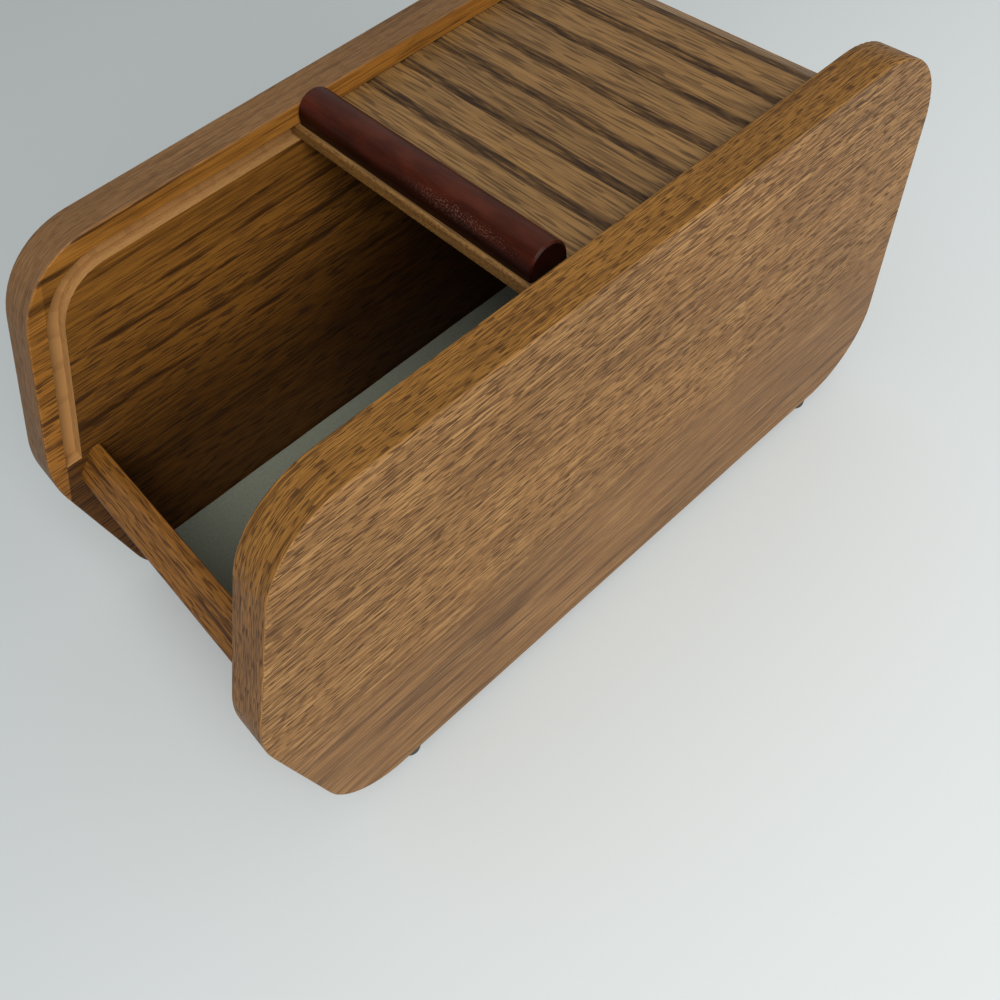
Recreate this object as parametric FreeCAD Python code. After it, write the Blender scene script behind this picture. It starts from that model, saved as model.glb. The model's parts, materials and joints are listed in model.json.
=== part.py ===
import FreeCAD, Part
import math
import os

# A small oak box for papers and keepsakes, closed by a tambour lid.
# Millimetres. +Z is up, the open front faces -Y, and the origin is under the
# middle of the box, on the surface that the rubber feet stand on.

# Driving dimensions of the case
BOARD_THICKNESS = 15.0
INNER_WIDTH = 113.0
BODY_LENGTH = 288.0
BODY_HEIGHT = 153.0
FOOT_HEIGHT = 6.0
FOOT_DIAMETER = 9.0
FOOT_TIP_DIAMETER = 8.0
FOOT_SIDE_SETBACK = 5.2

# Outline of the side boards
TOP_RADIUS = 35.0
FRONT_KNEE_RADIUS = 38.0
FRONT_KNEE_HEIGHT = 78.5
FRONT_SLOPE = math.radians(22.6)
FRONT_UNDERCUT = math.radians(6.8)
FRONT_FOOT_RADIUS = 25.0
BACK_FOOT_RADIUS = 31.0
ARRIS_RADIUS = 0.7

# Groove that the slats run in
GROOVE_INSET = 6.0
GROOVE_WIDTH = 5.6
GROOVE_DEPTH = 5.0
GROOVE_START_BELOW_PANEL = 1.5
POCKET_SHOULDER = 126.0
POCKET_LEDGE = 137.0
POCKET_BLEND_RADIUS = 4.0
RECESS_OVERCUT = 1.0

# Curtain of slats, hinged on the cloth glued under it
SLAT_PITCH = 14.6
SLAT_THICKNESS = 4.8
SLAT_GAP = 0.4
SLAT_TONGUE = 4.5
SLAT_BEVEL_RUN = 3.2
SLAT_BEVEL_DROP = 1.3
SLAT_BACK_ROUND = 0.3
LEAD_PITCHES = 2
LEAD_NOSE_RADIUS = 1.2
TOP_CLEARANCE = 0.3
LEAD_FRONT = -17.3
FLAT_SLATS = 6
TAIL_SLATS = 11
BEND_TURN = math.radians(30.0)
BEND_JOINTS = 3
BEND_STARTS = (0, 8)
LID_TRAVEL = 5 * SLAT_PITCH
CLOTH_THICKNESS = 0.4
CLOTH_MARGIN = 5.0
CLOTH_START = 12.0

# Handle bar on the lead slat
HANDLE_WIDTH = 14.0
HANDLE_HEIGHT = 9.0
HANDLE_LENGTH = 107.8
HANDLE_SIDE_SHIFT = -2.25
HANDLE_SETBACK = 1.4
HANDLE_RIM = 2.0
HANDLE_END_CHAMFER = 0.7

# Boards between the sides
PANEL_THICKNESS = 12.0
PANEL_FACE_SETBACK = 8.0
PANEL_HEIGHT = 82.0
PANEL_TOP_BEVEL = 8.5
PANEL_BOTTOM = 4.5
PANEL_FOOT_BEVEL = (9.5, 11.5)
PANEL_ROUND = 2.5
FLOOR_TOP = 21.5
FLOOR_THICKNESS = 4.5
FELT_THICKNESS = 1.0
FELT_MARGIN = 0.3
INNER_BACK_THICKNESS = 5.0
INNER_BACK_FACE = 72.0
INNER_BACK_TOP = 131.0
BACK_PANEL_THICKNESS = 5.0
BACK_PANEL_INSET = 1.0
BACK_PANEL_TOP = 118.0
BOTTOM_THICKNESS = 4.0
BOTTOM_RECESS = 1.5
TOP_EDGE_ROUND = 1.5
EDGE_ROUND = 0.5
FIT_GAP = 0.05

# Fasteners
DOWEL_DIAMETER = 6.0
DOWEL_LENGTH = 24.0
DOWEL_OFFSET = 2.0
DOWEL_HEIGHTS = (18.0, 55.0)
SCREW_DIAMETER = 2.4
SCREW_HEAD_DIAMETER = 4.8
SCREW_HEAD_HEIGHT = 1.6
SCREW_GRIP = 5.0
SCREW_SPREAD = 68.0
FOOT_FRONT_SETBACK = 37.0
FOOT_BACK_SETBACK = 34.0
FOOT_ROUND = 1.0
PIN_DIAMETER = 1.8
PIN_HEAD_DIAMETER = 4.8
PIN_HEAD_HEIGHT = 0.8
PIN_HEAD_LIFT = 2.0
PIN_LENGTH = 12.0

# Places worked out from them
BASE = FOOT_HEIGHT
TOP = BASE + BODY_HEIGHT
FRONT = -BODY_LENGTH / 2
BACK = BODY_LENGTH / 2
INNER_X = INNER_WIDTH / 2
OUTER_X = INNER_X + BOARD_THICKNESS
KNEE_Z = BASE + FRONT_KNEE_HEIGHT
HALF_TURN = (FRONT_SLOPE + FRONT_UNDERCUT) / 2
HALF_TILT = (FRONT_SLOPE - FRONT_UNDERCUT) / 2
KNEE_Y = FRONT - FRONT_KNEE_RADIUS * (math.cos(HALF_TILT) / math.cos(HALF_TURN) - 1)
GROOVE_TOP = TOP - GROOVE_INSET
CLOTH_LINE = GROOVE_TOP - TOP_CLEARANCE - SLAT_THICKNESS
BEND_Y = LEAD_FRONT + SLAT_PITCH * (LEAD_PITCHES + FLAT_SLATS)
PANEL_FACE = FRONT + PANEL_FACE_SETBACK
PANEL_BACK = PANEL_FACE + PANEL_THICKNESS


def point(x, y, z):
    return FreeCAD.Vector(x, y, z)


def box(x0, x1, y0, y1, z0, z1):
    return Part.makeBox(x1 - x0, y1 - y0, z1 - z0, point(x0, y0, z0))


def rounded_wire(corners, x):
    """Closed wire at one x through (y, z, radius) corners, each rounded by its radius."""
    edges = []
    ends = []
    count = len(corners)
    for i in range(count):
        here = point(x, corners[i][0], corners[i][1])
        before = point(x, corners[i - 1][0], corners[i - 1][1])
        after = point(x, corners[(i + 1) % count][0], corners[(i + 1) % count][1])
        radius = corners[i][2]
        to_before = (before - here).normalize()
        to_after = (after - here).normalize()
        half_angle = to_before.getAngle(to_after) / 2
        if radius <= 0:
            ends.append((here, here))
            continue
        run = radius / math.tan(half_angle)
        start = here + to_before * run
        end = here + to_after * run
        inward = (to_before + to_after).normalize()
        middle = here + inward * (radius / math.sin(half_angle) - radius)
        edges.append(Part.Arc(start, middle, end).toShape())
        ends.append((start, end))
    for i in range(count):
        start = ends[i][1]
        end = ends[(i + 1) % count][0]
        if start.distanceToPoint(end) > 0.001:
            edges.append(Part.LineSegment(start, end).toShape())
    return Part.Wire(Part.__sortEdges__(edges))


def prism(corners, x0, x1):
    """Solid between x0 and x1 whose section is the rounded outline of the corners."""
    return Part.Face(rounded_wire(corners, x0)).extrude(point(x1 - x0, 0, 0))


def slope_point(inset, height):
    """Point of the line that lies inset behind the front slope, at a height above the base."""
    y = KNEE_Y + (height - FRONT_KNEE_HEIGHT) * math.tan(FRONT_SLOPE)
    return (y + inset / math.cos(FRONT_SLOPE), BASE + height)


def side_outline(inset):
    """Corners of the side boards' outline, drawn in by the inset along the curtain's way."""
    undercut = FRONT_KNEE_HEIGHT * math.tan(FRONT_UNDERCUT)
    top_y = slope_point(inset, BODY_HEIGHT - inset)[0]
    return [
        (top_y, TOP - inset, TOP_RADIUS - inset),
        (BACK - inset, TOP - inset, TOP_RADIUS - inset),
        (BACK - inset, BASE + inset, BACK_FOOT_RADIUS - inset),
        (KNEE_Y + undercut + inset, BASE + inset, FRONT_FOOT_RADIUS - inset),
        (KNEE_Y + inset, KNEE_Z, FRONT_KNEE_RADIUS),
    ]


def rear_pocket_corners():
    """Corners of the recess behind the inner back, where the tail of the curtain hangs free."""
    back = BACK - GROOVE_INSET
    front = INNER_BACK_FACE + INNER_BACK_THICKNESS + GROOVE_INSET
    mouth = BEND_Y - LID_TRAVEL - SLAT_PITCH / 2
    bottom_over = BASE + BOTTOM_RECESS + BOTTOM_THICKNESS
    ledge_y = INNER_BACK_FACE - 2 * POCKET_BLEND_RADIUS
    return [
        (mouth, GROOVE_TOP, 0),
        (back, GROOVE_TOP, TOP_RADIUS - GROOVE_INSET),
        (back, bottom_over, BACK_FOOT_RADIUS - GROOVE_INSET),
        (front, bottom_over, POCKET_BLEND_RADIUS),
        (front, POCKET_SHOULDER, POCKET_BLEND_RADIUS),
        (ledge_y, POCKET_LEDGE, POCKET_BLEND_RADIUS),
        (mouth, GROOVE_TOP - GROOVE_WIDTH, 0),
    ]


def curtain_groove(x0, x1):
    """Groove up the front slope, round the front bend and along the top to the pocket."""
    outer = side_outline(GROOVE_INSET)
    inner = side_outline(GROOVE_INSET + GROOVE_WIDTH)
    low_outer = slope_point(GROOVE_INSET, PANEL_HEIGHT - GROOVE_START_BELOW_PANEL)
    low_inner = slope_point(GROOVE_INSET + GROOVE_WIDTH, PANEL_HEIGHT - GROOVE_START_BELOW_PANEL)
    run_end = BEND_Y - LID_TRAVEL
    corners = [
        (low_outer[0], low_outer[1], 0),
        (outer[0][0], outer[0][1], outer[0][2]),
        (run_end, GROOVE_TOP, 0),
        (run_end, GROOVE_TOP - GROOVE_WIDTH, 0),
        (inner[0][0], inner[0][1], inner[0][2]),
        (low_inner[0], low_inner[1], 0),
    ]
    return prism(corners, x0, x1)


def side_board(side):
    """One side board: the shaped outline with eased arrises, the groove, pocket and dowel holes."""
    faces = sorted([side * INNER_X, side * OUTER_X])
    board = prism(side_outline(0.0), faces[0], faces[1])
    flat = [f for f in board.Faces if abs(abs(f.normalAt(0.5, 0.5).x) - 1) < 0.001]
    board = board.makeFillet(ARRIS_RADIUS, [e for f in flat for e in f.Edges])
    recess = sorted([side * (INNER_X - RECESS_OVERCUT), side * (INNER_X + GROOVE_DEPTH)])
    board = board.cut(curtain_groove(recess[0], recess[1]))
    board = board.cut(prism(rear_pocket_corners(), recess[0], recess[1]))
    for place in dowel_places():
        board = board.cut(dowel(place, side, DOWEL_DIAMETER / 2 + FIT_GAP / 2, FIT_GAP))
    return board


def dowel_places():
    """Places of the glued dowels at each end of the front panel, as (y, z)."""
    y = PANEL_FACE + PANEL_THICKNESS / 2
    return [(y, BASE + height) for height in DOWEL_HEIGHTS]


def dowel(place, side, radius, extra):
    """One dowel across the joint of a side board and the front panel."""
    start = side * (INNER_X + DOWEL_LENGTH / 2 - DOWEL_OFFSET + extra)
    length = DOWEL_LENGTH + 2 * extra
    return Part.makeCylinder(radius, length, point(start, place[0], place[1]), point(-side, 0, 0))


def front_panel():
    """Low front between the sides, its top bevelled where the lead slat comes to rest."""
    top, low = BASE + PANEL_HEIGHT, BASE + PANEL_BOTTOM
    bevel_y, bevel_z = PANEL_FOOT_BEVEL
    corners = [
        (PANEL_FACE + bevel_y, low, PANEL_ROUND),
        (PANEL_FACE, low + bevel_z, PANEL_ROUND),
        (PANEL_FACE, top - PANEL_TOP_BEVEL, PANEL_ROUND),
        (PANEL_FACE + PANEL_TOP_BEVEL, top, PANEL_ROUND),
        (PANEL_BACK, top, EDGE_ROUND),
        (PANEL_BACK, low, EDGE_ROUND),
    ]
    panel = prism(corners, -INNER_X + FIT_GAP, INNER_X - FIT_GAP)
    for side in (-1, 1):
        for place in dowel_places():
            panel = panel.cut(dowel(place, side, DOWEL_DIAMETER / 2 + FIT_GAP / 2, FIT_GAP))
    return panel


def floor_board():
    """Floor of the compartment, between the front panel and the inner back."""
    return box(-INNER_X + FIT_GAP, INNER_X - FIT_GAP, PANEL_BACK + FIT_GAP, INNER_BACK_FACE - FIT_GAP,
               BASE + FLOOR_TOP - FLOOR_THICKNESS, BASE + FLOOR_TOP)


def floor_felt():
    """Felt that lies on the floor board and is cut a little small all round."""
    return box(-INNER_X + FELT_MARGIN, INNER_X - FELT_MARGIN, PANEL_BACK + FELT_MARGIN,
               INNER_BACK_FACE - FELT_MARGIN, BASE + FLOOR_TOP, BASE + FLOOR_TOP + FELT_THICKNESS)


def inner_back():
    """Board behind the compartment that keeps papers off the hanging slats."""
    corners = [
        (INNER_BACK_FACE, BASE + FLOOR_TOP - FLOOR_THICKNESS, EDGE_ROUND),
        (INNER_BACK_FACE, BASE + INNER_BACK_TOP, TOP_EDGE_ROUND),
        (INNER_BACK_FACE + INNER_BACK_THICKNESS, BASE + INNER_BACK_TOP, TOP_EDGE_ROUND),
        (INNER_BACK_FACE + INNER_BACK_THICKNESS, BASE + FLOOR_TOP - FLOOR_THICKNESS, EDGE_ROUND),
    ]
    return prism(corners, -INNER_X + FIT_GAP, INNER_X - FIT_GAP)


def back_panel():
    """Upright back, from the corner rail up to where the curtain turns over."""
    outer = BACK - BACK_PANEL_INSET
    low = BASE + BACK_FOOT_RADIUS + FIT_GAP
    corners = [
        (outer - BACK_PANEL_THICKNESS, low, EDGE_ROUND),
        (outer - BACK_PANEL_THICKNESS, BASE + BACK_PANEL_TOP, TOP_EDGE_ROUND),
        (outer, BASE + BACK_PANEL_TOP, TOP_EDGE_ROUND),
        (outer, low, EDGE_ROUND),
    ]
    return prism(corners, -INNER_X + FIT_GAP, INNER_X - FIT_GAP)


def bottom_board():
    """Board that closes the case underneath, from the front panel to the corner rail."""
    low = BASE + BOTTOM_RECESS
    back = BACK - BACK_FOOT_RADIUS - FIT_GAP
    return box(-INNER_X + FIT_GAP, INNER_X - FIT_GAP, PANEL_BACK + FIT_GAP, back, low, low + BOTTOM_THICKNESS)


def corner_rail():
    """Coved rail round the lower back corner, between the bottom board and the back panel."""
    y, z = BACK - BACK_FOOT_RADIUS, BASE + BACK_FOOT_RADIUS
    outer = BACK_FOOT_RADIUS - BOTTOM_RECESS
    length = 2 * (INNER_X - FIT_GAP)
    axis = point(1, 0, 0)
    start = point(-INNER_X + FIT_GAP, y, z)
    ring = Part.makeCylinder(outer, length, start, axis)
    ring = ring.cut(Part.makeCylinder(outer - BOTTOM_THICKNESS, length, start, axis))
    return ring.common(box(-OUTER_X, OUTER_X, y, BACK, BASE, z))


def slat(lead=False):
    """One slat lying flat, its front top edge bevelled and its back edge left almost square.

    Its hinge edge is at y = 0, its cloth side at z = 0, and it runs back along +Y.
    The lead slat is twice as wide, because it carries the handle, and only its nose is rounded.
    """
    half = INNER_X + SLAT_TONGUE
    if lead:
        near = 0.0
        far = SLAT_PITCH * LEAD_PITCHES - SLAT_GAP / 2
        near_top = [(near, SLAT_THICKNESS, LEAD_NOSE_RADIUS)]
    else:
        near = SLAT_GAP / 2
        far = SLAT_PITCH - SLAT_GAP / 2
        near_top = [
            (near, SLAT_THICKNESS - SLAT_BEVEL_DROP, 0.0),
            (near + SLAT_BEVEL_RUN, SLAT_THICKNESS, 0.0),
        ]
    far_edge = [(far, SLAT_THICKNESS, SLAT_BACK_ROUND), (far, 0.0, 0.0)]
    return prism([(near, 0.0, 0.0)] + near_top + far_edge, -half, half)


def tail_turns():
    """Turn at the front edge of each tail slat: three joints bend at the top and three below."""
    turns = [0.0] * TAIL_SLATS
    for first in BEND_STARTS:
        for i in range(first, first + BEND_JOINTS):
            turns[i] = BEND_TURN
    return turns


def curtain_places():
    """Front hinge edge of every slat as (y, z, angle down from level), lead slat first."""
    places = [(LEAD_FRONT, CLOTH_LINE, 0.0)]
    y, z, angle = LEAD_FRONT + SLAT_PITCH * LEAD_PITCHES, CLOTH_LINE, 0.0
    turns = [0.0] * FLAT_SLATS + tail_turns()
    for turn in turns:
        angle += turn
        places.append((y, z, angle))
        y += SLAT_PITCH * math.cos(angle)
        z -= SLAT_PITCH * math.sin(angle)
    return places


def placed(shape, place):
    """A flat slat's shape turned down by the place's angle and moved there."""
    y, z, angle = place
    copy = shape.copy()
    copy.rotate(point(0, 0, 0), point(1, 0, 0), -math.degrees(angle))
    copy.translate(point(0, y, z))
    return copy


def backing_cloth(places):
    """Cloth glued under the slats from behind the handle's screws on, bent at every joint."""
    half = INNER_X - CLOTH_MARGIN
    outer = [(LEAD_FRONT + CLOTH_START, CLOTH_LINE)]
    outer += [(place[0], place[1]) for place in places[1:]]
    y, z, angle = places[-1]
    outer.append((y + SLAT_PITCH * math.cos(angle), z - SLAT_PITCH * math.sin(angle)))
    inner = []
    for i in range(len(outer)):
        after = places[min(i, len(places) - 1)][2]
        before = places[max(i - 1, 0)][2]
        middle = (before + after) / 2
        reach = CLOTH_THICKNESS / math.cos((after - before) / 2)
        inner.append((outer[i][0] - reach * math.sin(middle), outer[i][1] - reach * math.cos(middle)))
    corners = [(p[0], p[1], 0.0) for p in outer + inner[::-1]]
    points = [point(-half, c[0], c[1]) for c in corners]
    wire = Part.makePolygon(points + [points[0]])
    return Part.Face(wire).extrude(point(2 * half, 0, 0))


def handle_bar():
    """Half-round bar along the lead slat with softly chamfered ends."""
    half = HANDLE_LENGTH / 2
    y0 = LEAD_FRONT + HANDLE_SETBACK
    z0 = CLOTH_LINE + SLAT_THICKNESS
    y1 = y0 + HANDLE_WIDTH
    mid = point(-half, (y0 + y1) / 2, z0 + HANDLE_HEIGHT)
    start, end = point(-half, y0, z0), point(-half, y1, z0)
    rim_start = start + point(0, 0, HANDLE_RIM)
    rim_end = end + point(0, 0, HANDLE_RIM)
    wire = Part.Wire([
        Part.LineSegment(start, rim_start).toShape(),
        Part.Arc(rim_start, mid, rim_end).toShape(),
        Part.LineSegment(rim_end, end).toShape(),
        Part.LineSegment(end, start).toShape(),
    ])
    bar = Part.Face(wire).extrude(point(HANDLE_LENGTH, 0, 0))
    arcs = [e for e in bar.Edges if isinstance(e.Curve, Part.Circle)]
    bar = bar.makeChamfer(HANDLE_END_CHAMFER, arcs)
    bar.translate(point(HANDLE_SIDE_SHIFT, 0, 0))
    for place in handle_screw_places():
        bar = bar.cut(screw(place))
    return bar


def handle_screw_places():
    """Places of the two screws that come up through the lead slat into the handle."""
    y = LEAD_FRONT + HANDLE_SETBACK + HANDLE_WIDTH / 2
    return [point(HANDLE_SIDE_SHIFT + side * SCREW_SPREAD / 2, y, CLOTH_LINE) for side in (-1, 1)]


def screw(place):
    """Countersunk wood screw whose head lies flush with the slat's underside, its shank upwards."""
    head = Part.makeCone(SCREW_HEAD_DIAMETER / 2, SCREW_DIAMETER / 2, SCREW_HEAD_HEIGHT, place)
    shank = Part.makeCylinder(SCREW_DIAMETER / 2, SLAT_THICKNESS + SCREW_GRIP, place)
    return head.fuse(shank).removeSplitter()


def foot(x_side, y):
    """Rubber foot under a side board, tapered down to a rounded tip."""
    centre = point(x_side * (OUTER_X - FOOT_SIDE_SETBACK), y, 0)
    body = Part.makeCone(FOOT_TIP_DIAMETER / 2, FOOT_DIAMETER / 2, FOOT_HEIGHT, centre)
    rim = [e for e in body.Edges if isinstance(e.Curve, Part.Circle) and e.BoundBox.ZMax < 0.1]
    body = body.makeFillet(FOOT_ROUND, rim)
    return body.cut(foot_pin(centre))


def foot_pin(centre):
    """Pin that holds a foot to its board, its head sunk in the rubber."""
    start = centre + point(0, 0, PIN_HEAD_LIFT)
    head = Part.makeCylinder(PIN_HEAD_DIAMETER / 2, PIN_HEAD_HEIGHT, start)
    shank = Part.makeCylinder(PIN_DIAMETER / 2, PIN_LENGTH, start)
    return head.fuse(shank).removeSplitter()


def foot_places():
    """Names and places of the four feet."""
    front_y = FRONT + FOOT_FRONT_SETBACK
    back_y = BACK - FOOT_BACK_SETBACK
    return [
        ("foot_front_left", -1, front_y),
        ("foot_front_right", 1, front_y),
        ("foot_back_left", -1, back_y),
        ("foot_back_right", 1, back_y),
    ]


def group(shapes):
    """Separate solids kept together in one node."""
    return Part.makeCompound(shapes)


def build():
    """Every node's shape by name."""
    nodes = {}
    nodes["side_board_left"] = side_board(-1)
    nodes["side_board_right"] = side_board(1)
    nodes["front_panel"] = front_panel()
    nodes["front_dowels"] = group([dowel(place, side, DOWEL_DIAMETER / 2, 0.0)
                                   for side in (-1, 1) for place in dowel_places()])
    nodes["floor_board"] = floor_board()
    nodes["floor_felt"] = floor_felt()
    nodes["inner_back_board"] = inner_back()
    nodes["back_panel"] = back_panel()
    nodes["bottom_board"] = bottom_board()
    nodes["corner_rail"] = corner_rail()

    places = curtain_places()
    screws = [screw(place) for place in handle_screw_places()]
    lead = placed(slat(lead=True), places[0])
    for piece in screws:
        lead = lead.cut(piece)
    nodes["lead_slat"] = lead
    plain = slat()
    for number, place in enumerate(places[1:], start=1):
        nodes["slat_%02d" % number] = placed(plain, place)
    nodes["backing_cloth"] = backing_cloth(places)
    nodes["handle_bar"] = handle_bar()
    nodes["handle_screws"] = group(screws)

    pins = []
    for name, side, y in foot_places():
        nodes[name] = foot(side, y)
        pins.append(foot_pin(point(side * (OUTER_X - FOOT_SIDE_SETBACK), y, 0)))
    nodes["foot_pins"] = group(pins)
    for board in ("side_board_left", "side_board_right"):
        for pin in pins:
            nodes[board] = nodes[board].cut(pin)
    return nodes


os.makedirs("parts", exist_ok=True)
for name, shape in build().items():
    shape.exportStep("parts/" + name + ".step")
    print(name, len(shape.Solids), round(shape.Volume / 1000, 2), shape.isValid())
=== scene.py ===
"""The tambour lid box: its oak, lacquer, felt and cloth, the table under it and the daylight over it."""

import json
import logging
import math
from dataclasses import dataclass, replace
from enum import Enum

import bpy
from mathutils import Matrix, Vector


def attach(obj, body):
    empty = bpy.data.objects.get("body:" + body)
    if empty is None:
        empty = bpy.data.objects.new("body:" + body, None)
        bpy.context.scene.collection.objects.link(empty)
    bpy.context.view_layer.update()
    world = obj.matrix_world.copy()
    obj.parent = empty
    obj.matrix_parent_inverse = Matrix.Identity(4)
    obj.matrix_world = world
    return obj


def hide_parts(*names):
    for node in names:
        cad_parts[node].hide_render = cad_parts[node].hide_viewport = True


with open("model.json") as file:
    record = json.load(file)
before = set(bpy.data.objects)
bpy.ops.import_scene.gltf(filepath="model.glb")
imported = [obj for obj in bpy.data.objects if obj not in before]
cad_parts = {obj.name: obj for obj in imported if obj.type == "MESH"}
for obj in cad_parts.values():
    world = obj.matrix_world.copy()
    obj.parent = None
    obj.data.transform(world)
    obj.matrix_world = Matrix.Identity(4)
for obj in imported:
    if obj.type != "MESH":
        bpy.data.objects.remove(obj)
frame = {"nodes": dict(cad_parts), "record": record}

LOG = logging.getLogger("tambour_lid_box")
MM = 0.001
TINY = 0.001
WEAVE = "weave"
SMOOTH_UNDER = math.radians(35.0)
Pair = tuple[float, float]
Triple = tuple[float, float, float]
ORIGIN: Triple = (0.0, 0.0, 0.0)
WHITE: Triple = (1.0, 1.0, 1.0)


class Grain(Enum):
    """Which way a board's grain runs, as the turn in degrees that brings it onto the box's length."""

    ALONG_BOX = (0.0, 0.0, 0.0)
    ACROSS_BOX = (0.0, 0.0, 90.0)


class Value:
    """A shader socket that ordinary arithmetic can be written on."""

    def __init__(self, tree: "Recipe", socket: bpy.types.NodeSocket) -> None:
        """Keeps the socket and the tree that new nodes go into."""
        self.tree = tree
        self.socket = socket

    def _math(self, operation: str, first: "Value | float", second: "Value | float") -> "Value":
        """One Math node on two values."""
        node = self.tree.node("ShaderNodeMath", {"operation": operation}, {0: first, 1: second})
        return Value(self.tree, node.outputs[0])

    def __add__(self, other: "Value | float") -> "Value":
        """self + other."""
        return self._math("ADD", self, other)

    def __radd__(self, other: float) -> "Value":
        """other + self."""
        return self._math("ADD", other, self)

    def __sub__(self, other: "Value | float") -> "Value":
        """self - other."""
        return self._math("SUBTRACT", self, other)

    def __rsub__(self, other: float) -> "Value":
        """other - self."""
        return self._math("SUBTRACT", other, self)

    def __mul__(self, other: "Value | float") -> "Value":
        """self * other."""
        return self._math("MULTIPLY", self, other)

    def __rmul__(self, other: float) -> "Value":
        """other * self."""
        return self._math("MULTIPLY", other, self)

    def __truediv__(self, other: "Value | float") -> "Value":
        """self / other."""
        return self._math("DIVIDE", self, other)

    def __pow__(self, other: "Value | float") -> "Value":
        """self ** other."""
        return self._math("POWER", self, other)

    def at_least(self, floor: "Value | float") -> "Value":
        """The larger of self and the floor."""
        return self._math("MAXIMUM", self, floor)

    def at_most(self, ceiling: "Value | float") -> "Value":
        """The smaller of self and the ceiling."""
        return self._math("MINIMUM", self, ceiling)

    def size(self) -> "Value":
        """self without its sign."""
        return self._math("ABSOLUTE", self, 0.0)

    def angle_to(self, other: "Value") -> "Value":
        """The angle whose opposite side is self and whose adjacent side is other."""
        return self._math("ARCTAN2", self, other)

    def fraction(self) -> "Value":
        """What is left above the next lower whole number."""
        return self._math("FRACT", self, 0.0)

    def between(self, low: float, high: float) -> "Value":
        """0 below low, 1 above high and a smooth step from one to the other.

        Args:
            low: the value that gives 0.
            high: the value that gives 1; it may be the lower of the two.

        Returns:
            The stepped value.
        """
        settings = {"interpolation_type": "SMOOTHSTEP", "clamp": True}
        node = self.tree.node("ShaderNodeMapRange", settings,
                              {"Value": self, "From Min": low, "From Max": high})
        return Value(self.tree, node.outputs["Result"])

    def around(self, place: float, step: Pair) -> "Value":
        """The smooth step between two distances from a place, as between() gives it."""
        return self.between(place + step[0], place + step[1])


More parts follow.
